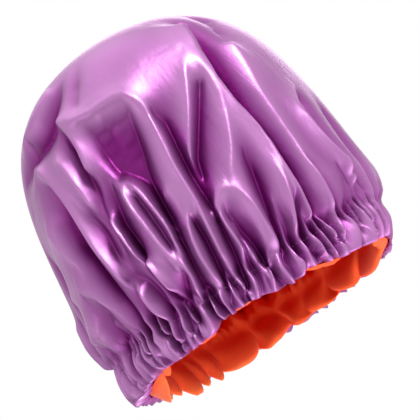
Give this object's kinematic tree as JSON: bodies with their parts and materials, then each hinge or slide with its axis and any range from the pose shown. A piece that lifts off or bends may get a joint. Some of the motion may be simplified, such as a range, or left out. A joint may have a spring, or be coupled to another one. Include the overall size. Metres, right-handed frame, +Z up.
{
  "type": "shower cap",
  "caption": "Domed double-layer cap with a gathered elastic hem, worn over the hair to keep it dry.",
  "frame": {"origin": "middle of the opening, level with the hem's edge that the cap stands on", "axes": "+Z up through the crown, -Y towards the side that the picture shows, +X to that side's right"},
  "size_m": [0.2392, 0.2399, 0.235],
  "materials": {
    "cover_film": "waterproof coated satin, lilac, pearly and glossy",
    "lining_cloth": "thin orange cloth, matt with a slight sheen",
    "elastic": "braided elastic, natural white, matt"
  },
  "bodies": {
    "root": {"outer_cover": "cover_film", "lining": "lining_cloth", "elastic_band": "elastic"}
  },
  "joints": []
}
